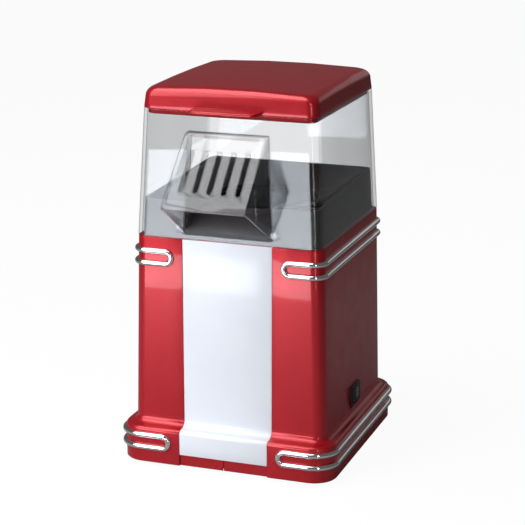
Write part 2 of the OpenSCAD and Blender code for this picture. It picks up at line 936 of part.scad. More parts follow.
function tray_w(z, inset) =
  body_w_top - 2 * dome_taper_x * (z - body_z) / dome_h - 2 * (dome_t + tray_gap + inset);
function tray_d(z, inset) =
  body_d - 2 * dome_taper_y * (z - body_z) / dome_h - 2 * (dome_t + tray_gap + inset);

module tray_block(inset, z1, z2) {
  r = dome_r - dome_t;
  translate([0, body_y, 0])
    leaning_block(
      [tray_w(z1, inset), tray_d(z1, inset)], [tray_w(z2, inset), tray_d(z2, inset)], r, z1, z2
    );
}

// The bowl that leads kernels down to the chamber
module tray_bowl(drop) {
  top = tray_back_z + 6;
  hull() {
    translate([0, body_y, top - drop])
      linear_extrude(eps) rounded(tray_w(top, 0) + 8, tray_d(top, 0) + 8, dome_r, $fn = hull_fn);
    at_unit() disc(mouth_r - 2 * fix_gap, mouth_z + tray_t - drop, mouth_z + tray_t - drop + eps, $fn = 48);
  }
}

// The lane that popcorn leaves by, over a ridge in front of the chamber
module tray_lane(drop, side) {
  along_x(2 * (lane_half + side)) polygon([
    [unit_y, lane_ridge_z - drop], [lane_ridge_y, lane_ridge_z - drop],
    [tray_start - 4, lane_low - drop], [tray_start - 4, far], [unit_y, far]
  ]);
}

module tray_rim_cut() {
  lean = atan2(tray_back_z - tray_front_z, body_d - 2 * dome_t);
  translate([0, body_front, tray_front_z]) rotate([lean, 0, 0])
    translate([-far / 2, -far / 4, 0]) cube([far, far, far / 4]);
}

module popcorn_tray() {
  color("dimgray") difference() {
    tray_block(0, body_z, tray_back_z + 2);
    tray_rim_cut();
    tray_bowl(0);
    tray_lane(0, 0);
    difference() {
      tray_block(tray_t, body_z - 1, tray_back_z + 2);
      tray_bowl(tray_t);
      tray_lane(tray_t, tray_t);
    }
    at_unit() disc(mouth_r, body_z, far);
    at_unit() disc(duct_r + duct_t + 0.5, body_z - 1, mouth_z);
  }
}

// ---- Dome, lid and chute ----

module gate() {
  low = gate_w / 2;
  high = low - gate_taper / 2;
  rotate([90, 0, 0]) linear_extrude(far / 2)
    polygon([[-low, gate_z], [low, gate_z], [high, gate_top], [-high, gate_top]]);
}

module dome() {
  r = dome_r;
  high_w = dome_w_top - 2 * dome_t;
  high_d = dome_d_top - 2 * dome_t;
  over = dome_h + 1;
  color("lightcyan", 0.35) {
    difference() {
      translate([0, body_y, 0])
        leaning_block([body_w_top, body_d], [dome_w_top, dome_d_top], r, body_z, rim_z);
      translate([0, body_y, 0])
        leaning_block(
          [body_w_top - 2 * dome_t + 2 * dome_taper_x / dome_h, body_d - 2 * dome_t + 2 * dome_lean],
          [high_w - 2 * dome_taper_x / dome_h, high_d - 2 * dome_lean],
          r - dome_t, body_z - 1, body_z + over
        );
      gate();
    }
    for (i = [-1, 1]) hinge_ear(i * (knuckle_w / 2 + 0.4 + ear_w / 2));
  }
}

module hinge_ear(x) {
  translate([x, 0, 0]) difference() {
    union() {
      translate([-ear_w / 2, hinge_y, hinge_z]) rotate([0, 90, 0]) cylinder(r = ear_r, h = ear_w);
      along_x(ear_w) polygon([
        [lid_back - 1, rim_z - 0.5], [hinge_y, rim_z - 0.5], [hinge_y + ear_r * 0.7, hinge_z - ear_r * 0.7],
        [lid_back + 0.9, rim_z - 18], [lid_back - 0.6, rim_z - 18]
      ]);
    }
    translate([0, hinge_y, hinge_z]) rotate([0, 90, 0]) cylinder(r = pin_r, h = 3 * ear_w, center = true);
  }
}

module lid_hinge_pin() {
  length = knuckle_w + 0.8 + 2 * ear_w;
  color("silver") translate([0, hinge_y, hinge_z])
    rotate([0, 90, 0]) cylinder(r = pin_r, h = length, center = true);
}

module lid_outside(inset) {
  z = rim_z - (inset > 0 ? 1 : 0);
  w = dome_w_top - 2 * inset;
  d = dome_d_top - 2 * inset;
  r = dome_r - (inset > 0 ? inset / 2 : 0);
  hull() {
    block(w, d, r, z, z + eps, $fn = hull_fn);
    block(w - 1, d - 1, r, rim_z + lid_h * 0.55, rim_z + lid_h * 0.55 + eps, $fn = hull_fn);
    block(w - 3.4, d - 3.4, r, rim_z + lid_h * 0.83, rim_z + lid_h * 0.83 + eps, $fn = hull_fn);
    block(w - 9, d - 9, r, rim_z + lid_h - inset, rim_z + lid_h - inset + eps, $fn = hull_fn);
    block(w * 0.5, d * 0.5, r, lid_top_z - inset - eps, lid_top_z - inset, $fn = hull_fn);
  }
}

module lid() {
  lip_t = 1.6;
  lip_h = 4;
  lip_w = dome_w_top - 2 * dome_t - 2 * slip_gap;
  lip_d = dome_d_top - 2 * dome_t - 2 * slip_gap;
  lip_r = dome_r - dome_t - 0.2;
  color("firebrick") difference() {
    union() {
      translate([0, body_y, 0]) {
        difference() {
          lid_outside(0);
          lid_outside(lid_t);
        }
        difference() {
          block(lip_w, lip_d, lip_r, rim_z - lip_h, rim_z + 3);
          block(lip_w - 2 * lip_t, lip_d - 2 * lip_t, lip_r - lip_t, rim_z - lip_h - 1, rim_z + 4);
          difference() {
            block(far, far, 10, rim_z - eps, rim_z + far);
            block(lip_w, lip_d, lip_r, rim_z - 1, rim_z + far);
          }
        }
        difference() {
          block(dome_w_top - 1, dome_d_top - 1, dome_r, rim_z, rim_z + 2);
          block(lip_w - 2 * lip_t, lip_d - 2 * lip_t, lip_r - lip_t, rim_z - 1, rim_z + 4);
        }
      }
      lid_tab();
      translate([-knuckle_w / 2, hinge_y, hinge_z])
        rotate([0, 90, 0]) cylinder(r = knuckle_r, h = knuckle_w);
      along_x(knuckle_w) polygon([
        [lid_back - 1.5, rim_z + 0.4], [hinge_y, rim_z + 0.4],
        [hinge_y, hinge_z + knuckle_r], [lid_back - 1.5, hinge_z + knuckle_r]
      ]);
    }
    translate([0, hinge_y, hinge_z])
      rotate([0, 90, 0]) cylinder(r = pin_r + run_gap, h = 2 * knuckle_w, center = true);
  }
}

module lid_tab() {
  half = tab_w / 2;
  translate([0, lid_front, rim_z + 0.6]) linear_extrude(2.4) polygon([
    [-half, 1.5], [half, 1.5], [half - 1, -tab_reach * 0.7],
    [half - 5, -tab_reach], [5 - half, -tab_reach], [1 - half, -tab_reach * 0.7]
  ]);
}

// Everything between the chute's two side planes, moved in by inset
module chute_sides(inset) {
  low = chute_side - inset;
  slope = (chute_side - chute_side_top) / (chute_top_z - chute_low_z);
  reach = 40;
  rotate([90, 0, 0]) linear_extrude(far, center = true) polygon([
    [-low - reach * slope, chute_low_z - reach], [low + reach * slope, chute_low_z - reach],
    [low - slope * (chute_top_z - chute_low_z), chute_top_z],
    [slope * (chute_top_z - chute_low_z) - low, chute_top_z]
  ]);
}

// The wedge in front of the dome and, moved in and left open below and behind, its hollow
module chute_solid() {
  intersection() {
    chute_sides(0);
    along_x(2 * gate_w) polygon([
      [dome_face(chute_top_z) + chute_in, chute_top_z], [chute_top_y, chute_top_z],
      [chute_lip_y, chute_lip_z], [dome_face(chute_low_z) + chute_in, chute_low_z]
    ]);
  }
}

module chute_hollow() {
  down = [chute_lip_y - chute_top_y, chute_lip_z - chute_top_z] / plate_run;
  inward = [-down[1], down[0]] * chute_t;
  lip = [chute_lip_y, chute_lip_z] + inward + down * 15;
  roof = chute_top_z - chute_t;
  top = chute_top_y + inward[0] + down[0] * (inward[1] + chute_t) / -down[1];
  intersection() {
    chute_sides(chute_t);
    along_x(2 * gate_w) polygon([
      [body_y, roof], [top, roof], lip, [body_y, chute_low_z - 60]
    ]);
  }
}

// Works in the front plate: x across, y down the plate from its upper edge
module on_front_plate() {
  translate([0, chute_top_y, chute_top_z]) rotate([plate_angle, 0, 0]) children();
}

module chute_slots() {
  from = slot_from * plate_run;
  to = slot_to * plate_run;
  for (i = [0:slot_n - 1])
    translate([(i - (slot_n - 1) / 2) * slot_pitch, 0, 0]) {
      translate([0, -from, 0]) cylinder(r = slot_w / 2, h = 30, center = true);
      translate([0, -to, 0]) cylinder(r = slot_w / 2, h = 30, center = true);
      translate([-slot_w / 2, -to, -15]) cube([slot_w, to - from, 30]);
    }
}

module chute() {
  tab_h = 9;
  color("lightcyan", 0.35) {
    difference() {
      chute_solid();
      chute_hollow();
      on_front_plate() chute_slots();
    }
    for (i = [-1, 1])
      translate([i * (chute_side + 2), dome_face(gate_z) - 1.2, gate_z + 2 + tab_h / 2])
        cube([6, 1.6, tab_h], center = true);
  }
}

// ---- Assembly ----

left_body_half();
right_body_half();
front_panel();
bottom_plate();
rubber_feet();
upper_trim_left();
upper_trim_right();
lower_trim_left();
lower_trim_right();
popcorn_tray();
chamber_gasket();
popping_chamber();
air_duct();
heater_frame();
heater_coil();
thermostat();
thermal_fuse();
fan_housing();
fan_impeller();
motor_shaft();
motor_armature();
motor_can();
motor_magnets();
motor_end_cap();
rectifier_board();
motor_screws();
chassis_screws();
base_screws();
case_screws();
terminal_block();
wiring();
cord_inlet();
switch_housing();
switch_rocker();
switch_lens();
dome();
lid_hinge_pin();
chute();
lid();
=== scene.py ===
"""The looks of a hot-air popcorn maker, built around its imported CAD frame.

Metres, +Z up, front towards -Y. Pieces that show a smooth or rounded surface are rebuilt
here at the CAD's own sizes; the working parts inside keep their CAD shapes.
"""
import json
import math

import bmesh
import bpy
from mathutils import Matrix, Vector

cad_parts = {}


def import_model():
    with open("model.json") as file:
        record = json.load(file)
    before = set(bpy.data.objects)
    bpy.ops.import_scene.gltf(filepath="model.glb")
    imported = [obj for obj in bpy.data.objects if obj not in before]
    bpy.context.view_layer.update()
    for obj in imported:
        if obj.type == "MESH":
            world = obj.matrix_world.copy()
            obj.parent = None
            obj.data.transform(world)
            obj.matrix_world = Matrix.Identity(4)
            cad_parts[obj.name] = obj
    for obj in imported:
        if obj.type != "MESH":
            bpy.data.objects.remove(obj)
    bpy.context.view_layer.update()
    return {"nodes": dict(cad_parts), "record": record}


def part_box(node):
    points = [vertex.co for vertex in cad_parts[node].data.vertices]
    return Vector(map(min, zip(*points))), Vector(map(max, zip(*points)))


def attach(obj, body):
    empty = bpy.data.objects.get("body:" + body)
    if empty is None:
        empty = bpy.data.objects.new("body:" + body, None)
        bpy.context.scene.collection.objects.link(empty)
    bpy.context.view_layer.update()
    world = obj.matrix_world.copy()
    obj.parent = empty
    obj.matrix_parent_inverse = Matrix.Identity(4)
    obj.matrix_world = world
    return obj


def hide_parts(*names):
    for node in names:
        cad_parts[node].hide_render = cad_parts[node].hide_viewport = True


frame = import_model()

MM = 0.001

# ---------------------------------------------------------------- sizes from the frame

shell_lo, shell_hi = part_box("right_body_half")
panel_lo, panel_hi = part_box("front_panel")
_, dome_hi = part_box("dome")
_, lid_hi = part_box("lid")
pin_lo, pin_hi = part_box("lid_hinge_pin")
switch_lo, switch_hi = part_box("switch_housing")
inlet_lo, inlet_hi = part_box("cord_inlet")
trim_lo, trim_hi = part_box("upper_trim_right")
low_trim_lo, low_trim_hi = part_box("lower_trim_right")

# Body: skirt, ledge and upright walls
BASE_HALF_W = shell_hi.x
BASE_FRONT, BASE_BACK = shell_lo.y, shell_hi.y
BASE_Z, BODY_Z = shell_lo.z, shell_hi.z
BASE_R = 18 * MM
BODY_R = 9.5 * MM
LEDGE_SIDE = 7.8 * MM
# Chrome rods, and how far their middle lies outside the wall
ROD_R = 2.1 * MM
ROD_OUT = 0.7 * MM
BODY_HALF_TOP = dome_hi.x
BODY_DRAFT = BASE_HALF_W - LEDGE_SIDE - BODY_HALF_TOP
BODY_FRONT = trim_lo.y + ROD_R + ROD_OUT
BODY_BACK = trim_hi.y - ROD_R - ROD_OUT
BODY_Y = (BODY_FRONT + BODY_BACK) / 2
BODY_HALF_D = (BODY_BACK - BODY_FRONT) / 2
LEDGE_Z = BASE_Z + 33 * MM
RECESS = 1.7 * MM
# Front panel in its recess, and the seam between the halves
PANEL_HALF = panel_hi.x
PANEL_T = 1.6 * MM
PANEL_GAP = 0.12 * MM
SEAM = 0.15 * MM
SEAM_CHAMFER = 0.35 * MM
WALL = 2.6 * MM

# Dome
DOME_H = 95.5 * MM
DOME_TAPER_Y = 3.5 * MM
LID_HALF_W = lid_hi.x
DOME_TOP_HALF_D = BODY_HALF_D - DOME_TAPER_Y
RIM_Z = BODY_Z + DOME_H
LID_FRONT = BODY_Y - DOME_TOP_HALF_D
LID_BACK = BODY_Y + DOME_TOP_HALF_D
DOME_R = BODY_R - 1 * MM
DOME_T = 2.5 * MM
DOME_LEAN = DOME_TAPER_Y / DOME_H
# The switch's window in the wall, inside its bezel
SOCKET_MARGIN = 0.7 * MM

# Hinge knuckle and ears round the lid's pin
HINGE_Y, HINGE_Z = (pin_lo.y + pin_hi.y) / 2, (pin_lo.z + pin_hi.z) / 2
EAR_R = 4.0 * MM
EAR_W = 8 * MM
KNUCKLE_R = 3.8 * MM
KNUCKLE_HALF = 20 * MM

# Front opening of the dome
GATE_HALF = 35 * MM
GATE_TAPER = 3.6 * MM
GATE_LOW = BODY_Z + 3.6 * MM
GATE_TOP = GATE_LOW + 77.5 * MM

# Chute
CHUTE_T = 2.4 * MM
CHUTE_GAP = 0.6 * MM
CHUTE_TOP_OUT = 6 * MM
CHUTE_REACH = 46.2 * MM
CHUTE_LIP_H = 30.5 * MM
SLOT_COUNT = 5
SLOT_PITCH = 10.8 * MM
SLOT_W = 4 * MM
SLOT_FROM, SLOT_TO = 0.24, 0.74

# Lid
LID_CROWN_X = 2.2 * MM
LID_CROWN_Y = 1.2 * MM
LID_CORNER_Z = lid_hi.z - LID_CROWN_X - LID_CROWN_Y
TAB_HALF = 26.5 * MM
TAB_REACH = 14 * MM
TAB_T = 2.4 * MM


# ---------------------------------------------------------------- mesh helpers

def link(name, bm):
    """Makes an object of a bmesh and puts it in the scene."""
    bmesh.ops.recalc_face_normals(bm, faces=bm.faces)
    mesh = bpy.data.meshes.new(name)
    bm.to_mesh(mesh)
    bm.free()
    obj = bpy.data.objects.new(name, mesh)
    bpy.context.scene.collection.objects.link(obj)
    return obj


def loft(name, rings, closed=True, caps=False):
    """Joins rings with the same number of points by quads. Closed rings may be capped."""
    bm = bmesh.new()
    rows = [[bm.verts.new(p) for p in ring] for ring in rings]
    n = len(rows[0])
    last = n if closed else n - 1
    for a, b in zip(rows, rows[1:]):
        for i in range(last):
            j = (i + 1) % n
            bm.faces.new((a[i], a[j], b[j], b[i]))
    if caps:
        bm.faces.new(list(reversed(rows[0])))
        bm.faces.new(rows[-1])
    return link(name, bm)


def arc(cx, cy, r, start, end, n):
    """n + 1 points on an arc, angles in degrees."""
    out = []
    for i in range(n + 1):
        a = math.radians(start + (end - start) * i / n)
        out.append((cx + r * math.cos(a), cy + r * math.sin(a)))
    return out


def rounded(half_w, half_d, r, n=10):
    """A rounded rectangle round the origin, anticlockwise, straight sides in three spans."""
    r = min(r, half_w * 0.98, half_d * 0.98)
    pts = []
    corners = ((1, -1, -90), (1, 1, 0), (-1, 1, 90), (-1, -1, 180))
    for i, (sx, sy, a) in enumerate(corners):
        pts += arc(sx * (half_w - r), sy * (half_d - r), r, a, a + 90, n)
        nx, ny, _ = corners[(i + 1) % 4]
        here = Vector(pts[-1])
        there = Vector(arc(nx * (half_w - r), ny * (half_d - r), r, a + 90, a + 90, 1)[0])
        pts += [tuple(here.lerp(there, t)) for t in (1 / 3, 2 / 3)]
    return pts


def level(pts, z, y0=0.0):
    return [(x, y + y0, z) for x, y in pts]


def prism(name, points, x0, x1):
    """A closed outline in Y and Z, drawn out along X."""
    return loft(name, [[(x, y, z) for y, z in points] for x in (x0, x1)], caps=True)


def box_between(name, lo, hi):
    ring = [(lo[0], lo[1]), (hi[0], lo[1]), (hi[0], hi[1]), (lo[0], hi[1])]
    return loft(name, [level(ring, lo[2]), level(ring, hi[2])], caps=True)


def cylinder_x(name, y, z, r, x0, x1, n=48):
    return prism(name, arc(y, z, r, 0, 360, n)[:-1], x0, x1)


def apply_modifiers(obj):
    """Puts the modifiers' result into the mesh."""
    bpy.context.view_layer.update()
    deps = bpy.context.evaluated_depsgraph_get()
    mesh = bpy.data.meshes.new_from_object(obj.evaluated_get(deps))
    old = obj.data
    obj.modifiers.clear()
    obj.data = mesh
    bpy.data.meshes.remove(old)
    return obj


def cut(obj, tools, operation="DIFFERENCE"):
    """Cuts the tools out of obj, or adds them, and deletes the tools."""
    for tool in tools:
        m = obj.modifiers.new("cut", "BOOLEAN")
        m.operation = operation
        m.solver = "EXACT"
        m.object = tool
    apply_modifiers(obj)
    for tool in tools:
        bpy.data.objects.remove(tool)
    return obj


def clean(obj, flat_angle=1.0):
    """Joins flat neighbours into whole faces."""
    bm = bmesh.new()
    bm.from_mesh(obj.data)
    bmesh.ops.remove_doubles(bm, verts=bm.verts, dist=0.002 * MM)
    bmesh.ops.dissolve_limit(
        bm, angle_limit=math.radians(flat_angle), verts=bm.verts, edges=bm.edges
    )
    bm.to_mesh(obj.data)
    bm.free()
    return obj


def bevel(obj, width, segments=2, angle=30):
    m = obj.modifiers.new("bevel", "BEVEL")
    m.width = width
    m.segments = segments
    m.limit_method = "ANGLE"
    m.angle_limit = math.radians(angle)
    m.harden_normals = False
    return apply_modifiers(obj)


def thicken(obj, depth):
    m = obj.modifiers.new("wall", "SOLIDIFY")
    m.thickness = depth
    m.offset = -1
    m.use_even_offset = True
    return apply_modifiers(obj)


def smooth(obj, angle=32):
    obj.data.shade_smooth()
    obj.data.set_sharp_from_angle(angle=math.radians(angle))
    return obj


def join(name, objs):
    """Puts several meshes into one object as separate shells."""
    bm = bmesh.new()
    for o in objs:
        bm.from_mesh(o.data)
        bpy.data.objects.remove(o)
    mesh = bpy.data.meshes.new(name)
    bm.to_mesh(mesh)
    bm.free()
    obj = bpy.data.objects.new(name, mesh)
    bpy.context.scene.collection.objects.link(obj)
    return obj


def tube(name, path, radius, sides=20, closed=True):
    """Sweeps a circle along a path of 3-D points."""
    pts = [Vector(p) for p in path]
    n = len(pts)
    rings = []
    normal = None
    for i, p in enumerate(pts):
        before = pts[i - 1] if closed or i else p
        after = pts[(i + 1) % n] if closed or i < n - 1 else p
        t = (after - before).normalized()
        if normal is None:
            normal = t.orthogonal().normalized()
        normal = (normal - t * normal.dot(t)).normalized()
        other = t.cross(normal)
        rings.append([
            tuple(p + radius * (math.cos(a) * normal + math.sin(a) * other))
            for a in (2 * math.pi * k / sides for k in range(sides))
        ])
    if closed:
        rings = match_last_ring(rings, sides)
    return loft(name, rings, caps=not closed)


def match_last_ring(rings, sides):
    """Closes a swept tube: repeats the first ring at the end, turned to fit the last one."""
    last = [Vector(p) for p in rings[-1]]
    first = [Vector(p) for p in rings[0]]
    shift = min(
        range(sides),
        key=lambda s: sum((first[(k + s) % sides] - last[k]).length for k in range(sides)),
    )
    return rings + [[tuple(first[(k + shift) % sides]) for k in range(sides)]]


def finish_piece(obj, material, body, slot, *nodes):
    """Gives a piece its material and body, and hides the CAD nodes that it stands for. The slot
    argument is not used.
    """
    obj.data.materials.clear()
    obj.data.materials.append(material)
    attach(obj, body)
    if nodes:
        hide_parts(*nodes)
    return obj


# ---------------------------------------------------------------- materials

def new_material(name):
    mat = bpy.data.materials.new(name)
    mat.use_nodes = True
    tree = mat.node_tree
    return mat, tree, tree.nodes["Principled BSDF"]


def coordinates(tree):
    return tree.nodes.new("ShaderNodeTexCoord").outputs["Object"]


def noise(tree, scale, detail=4.0, rough=0.5, stretch=None):
    n = tree.nodes.new("ShaderNodeTexNoise")
    n.inputs["Scale"].default_value = scale
    n.inputs["Detail"].default_value = detail
    n.inputs["Roughness"].default_value = rough
    source = coordinates(tree)
    if stretch:
        m = tree.nodes.new("ShaderNodeMapping")
        m.inputs["Scale"].default_value = stretch
        tree.links.new(source, m.inputs["Vector"])
        source = m.outputs["Vector"]
    tree.links.new(source, n.inputs["Vector"])
    return n.outputs["Fac"]


def spread(tree, source, low, high, from_low=0.3, from_high=0.7):
    """Stretches a noise to the range low..high."""
    m = tree.nodes.new("ShaderNodeMapRange")
    m.inputs["From Min"].default_value = from_low
    m.inputs["From Max"].default_value = from_high
    m.inputs["To Min"].default_value = low
    m.inputs["To Max"].default_value = high
    tree.links.new(source, m.inputs["Value"])
    return m.outputs["Result"]


def blend_colours(tree, factor, a, b):
    m = tree.nodes.new("ShaderNodeMix")
    m.data_type = "RGBA"
    m.inputs["A"].default_value = (*a, 1)
    m.inputs["B"].default_value = (*b, 1)
    tree.links.new(factor, m.inputs["Factor"])
    return m.outputs["Result"]


def bump(tree, shader, height, strength, distance):
    b = tree.nodes.new("ShaderNodeBump")
    b.inputs["Strength"].default_value = strength
    b.inputs["Distance"].default_value = distance
    tree.links.new(height, b.inputs["Height"])
    tree.links.new(b.outputs["Normal"], shader.inputs["Normal"])
    return b


def plastic(name, dark, light, rough, grain=9000.0, depth=0.05, coat=0.0):
    """Moulded plastic: slight colour variation, fine texture, uneven gloss."""
    mat, tree, p = new_material(name)
    tree.links.new(
        blend_colours(tree, spread(tree, noise(tree, 45.0), 0, 1), dark, light),
        p.inputs["Base Color"],
    )
    tree.links.new(
        spread(tree, noise(tree, 220.0, 5.0), rough * 0.85, rough * 1.2), p.inputs["Roughness"]
    )
    p.inputs["Coat Weight"].default_value = coat
    p.inputs["Coat Roughness"].default_value = 0.05
    bump(tree, p, noise(tree, grain, 2.0), 0.35, depth * MM)
    return mat


def candy_red(name="candy_red"):
    """Red metallic lacquer: flakes under a hard clear coat."""
    mat, tree, p = new_material(name)
    flake = tree.nodes.new("ShaderNodeTexVoronoi")
    flake.inputs["Scale"].default_value = 2600.0
    tree.links.new(coordinates(tree), flake.inputs["Vector"])
    sparkle = spread(tree, flake.outputs["Distance"], 0.0, 1.0, 0.1, 0.7)
    tree.links.new(
        blend_colours(tree, sparkle, (0.38, 0.002, 0.008), (0.52, 0.005, 0.015)),
        p.inputs["Base Color"],
    )
    p.inputs["Metallic"].default_value = 0.4
    tree.links.new(
        spread(tree, noise(tree, 60.0), 0.30, 0.38), p.inputs["Roughness"]
    )
    p.inputs["Coat Weight"].default_value = 0.5
    p.inputs["Coat Roughness"].default_value = 0.06
    p.inputs["Coat IOR"].default_value = 1.5
    bump(tree, p, noise(tree, 5200.0, 1.0), 0.06, 0.02 * MM)
    return mat


def glossy_white(name="glossy_white"):
    mat, tree, p = new_material(name)
    cloud = spread(tree, noise(tree, 30.0), 0, 1)
    tree.links.new(
        blend_colours(tree, cloud, (0.80, 0.83, 0.90), (0.83, 0.86, 0.92)),
        p.inputs["Base Color"],
    )
    tree.links.new(spread(tree, noise(tree, 150.0), 0.16, 0.22), p.inputs["Roughness"])
    p.inputs["Coat Weight"].default_value = 0.2
    p.inputs["Coat Roughness"].default_value = 0.2
    bump(tree, p, noise(tree, 60.0, 2.0), 0.04, 0.3 * MM)
    return mat


def metal(name, colour, rough_low, rough_high, scale=400.0, stretch=None, depth=0.01, coarse=0.2):
    """Bare or plated metal with fine marks; stretch draws the marks out along one axis."""
    mat, tree, p = new_material(name)
    marks = noise(tree, scale, 6.0, 0.6, stretch)
    dim = tuple(c * 0.92 for c in colour)
    tree.links.new(
        blend_colours(tree, spread(tree, marks, 0, 1), dim, colour), p.inputs["Base Color"]
    )
    p.inputs["Metallic"].default_value = 1.0
    tree.links.new(spread(tree, marks, rough_low, rough_high), p.inputs["Roughness"])
    bump(tree, p, marks, coarse, depth * MM)
    return mat


def clear_plastic(name="clear_plastic"):
    """Clear moulded plastic as a thin wall: see-through, with a polished reflection, and painted shade
    that darkens the see-through colour at grazing angles.
    """
    mat, tree, p = new_material(name)
    p.inputs["Base Color"].default_value = (0.97, 0.98, 1.0, 1)
    p.inputs["Metallic"].default_value = 1.0
    tree.links.new(spread(tree, noise(tree, 90.0), 0.01, 0.04), p.inputs["Roughness"])
    ripple = bump(tree, p, noise(tree, 25.0, 1.0), 0.04, 0.2 * MM)
    clear = tree.nodes.new("ShaderNodeBsdfTransparent")
    facing = tree.nodes.new("ShaderNodeLayerWeight")
    facing.inputs["Blend"].default_value = 0.5
    tree.links.new(ripple.outputs["Normal"], facing.inputs["Normal"])
    steep = tree.nodes.new("ShaderNodeMath")
    steep.operation = "POWER"
    steep.inputs[1].default_value = 5.0
    tree.links.new(facing.outputs["Facing"], steep.inputs[0])
    # Painted shade: the see-through colour turns dark grey at grazing angles, standing in for the dark
    # edges that refraction gives in the clear walls.
    grazing_shade_tint = blend_colours(tree, steep.outputs["Value"], (0.982, 0.984, 0.987), (0.15, 0.16, 0.18))
    tree.links.new(grazing_shade_tint, clear.inputs["Color"])
    share = tree.nodes.new("ShaderNodeMath")
    share.operation = "MULTIPLY_ADD"
    share.inputs[1].default_value = 0.95
    share.inputs[2].default_value = 0.04
    tree.links.new(steep.outputs["Value"], share.inputs[0])
    mix = tree.nodes.new("ShaderNodeMixShader")
    tree.links.new(share.outputs["Value"], mix.inputs["Fac"])
    tree.links.new(clear.outputs["BSDF"], mix.inputs[1])
    tree.links.new(p.outputs["BSDF"], mix.inputs[2])
    tree.links.new(mix.outputs["Shader"], tree.nodes["Material Output"].inputs["Surface"])
    return mat


RED = candy_red()
WHITE = glossy_white()
CHROME = metal("chrome", (0.93, 0.94, 0.95), 0.07, 0.12, 900.0)
CLEAR = clear_plastic()
TRAY = plastic("tray_plastic", (0.030, 0.030, 0.033), (0.042, 0.042, 0.046), 0.42)
BLACK = plastic("black_plastic", (0.012, 0.012, 0.012), (0.02, 0.02, 0.02), 0.38)
PLATE = plastic("plate_plastic", (0.035, 0.035, 0.037), (0.05, 0.05, 0.052), 0.5)
RUBBER = plastic("rubber", (0.014, 0.014, 0.014), (0.022, 0.022, 0.022), 0.75, 5000.0, 0.12)
LENS = plastic("smoked_lens", (0.02, 0.035, 0.028), (0.03, 0.05, 0.04), 0.12, 4000.0, 0.01, 0.8)
# Painted shade: the popping chamber's metal gets a near-black grey that stands in for the little light
# inside its deep well.
CHAMBER_SHADED_METAL = metal("chamber_painted_shade", (0.12, 0.12, 0.13), 0.34, 0.46, 500.0, (1, 1, 0.06), 0.03)
STEEL = metal("plated_steel", (0.66, 0.66, 0.68), 0.2, 0.32, 700.0)
TINPLATE = metal("tinplate", (0.62, 0.62, 0.64), 0.26, 0.4, 350.0, (1, 1, 0.1), 0.03)
COPPER = metal("winding", (0.72, 0.36, 0.20), 0.3, 0.45, 1500.0, (1, 1, 6), 0.1, 0.6)
WIRE = metal("heater_wire", (0.34, 0.31, 0.30), 0.35, 0.5, 1800.0, None, 0.05, 0.5)
MAGNET = plastic("ferrite", (0.02, 0.02, 0.022), (0.035, 0.035, 0.037), 0.6, 3000.0, 0.1)
SILICONE = plastic("silicone", (0.02, 0.02, 0.022), (0.03, 0.03, 0.033), 0.5)
MICA = plastic("mica", (0.46, 0.40, 0.27), (0.58, 0.52, 0.38), 0.4, 700.0, 0.08)
CERAMIC = plastic("fuse_ceramic", (0.72, 0.70, 0.66), (0.8, 0.79, 0.75), 0.3)
IVORY = plastic("heat_plastic", (0.56, 0.52, 0.42), (0.64, 0.6, 0.5), 0.45)
BOARD = plastic("board", (0.01, 0.08, 0.03), (0.02, 0.11, 0.045), 0.35, 2500.0, 0.03)
NYLON = plastic("nylon", (0.74, 0.74, 0.70), (0.8, 0.8, 0.77), 0.4)
LEAD = plastic("lead_insulation", (0.10, 0.10, 0.105), (0.14, 0.14, 0.145), 0.45)


# ---------------------------------------------------------------- body shells

def body_insets(u):
    """How far a level lies inside the base at the side, front and back, for u of the ledge."""
    return (
        u * LEDGE_SIDE,
        u * (BODY_FRONT - BASE_FRONT),
        u * (BASE_BACK - BODY_BACK),
    )


def body_levels():
    """(height, share of the ledge, draft, extra inset) from the skirt's foot to the deck."""
    foot = 0.6 * MM
    shoulder_r = 3 * MM
    cove_r = LEDGE_SIDE - shoulder_r
    ledge = LEDGE_SIDE
    shoulder_z = LEDGE_Z - cove_r - shoulder_r
    rows = [(BASE_Z, 0, 0, foot), (BASE_Z + foot, 0, 0, 0)]
    rows += [(z, 0, 0, 0) for z in (inlet_lo.z + 4 * MM, inlet_hi.z - 4 * MM)]
    for u, z in arc(shoulder_r, shoulder_z, shoulder_r, 180, 90, 8):
        rows.append((z, u / ledge, 0, 0))
    for u, z in arc(shoulder_r, shoulder_z + shoulder_r + cove_r, cove_r, -90, 0, 10)[1:]:
        rows.append((z, u / ledge, 0, 0))
    low = rows[-1][0]
    heights = [
        switch_lo.z + SOCKET_MARGIN, switch_hi.z - SOCKET_MARGIN,
        LEDGE_Z + 50 * MM, LEDGE_Z + 100 * MM,
    ]
    edge = 0.7 * MM
    for z in heights:
        rows.append((z, 1, BODY_DRAFT * (z - low) / (BODY_Z - low), 0))
    rows.append((BODY_Z - edge, 1, BODY_DRAFT, 0))
    rows.append((BODY_Z - edge * 0.3, 1, BODY_DRAFT, edge * 0.3))
    rows.append((BODY_Z, 1, BODY_DRAFT, edge))
    rows.append((BODY_Z, 1, BODY_DRAFT, 15 * MM))
    return rows


def body_front_y(u, extra=0.0):
    return BASE_FRONT + body_insets(u)[1] + extra


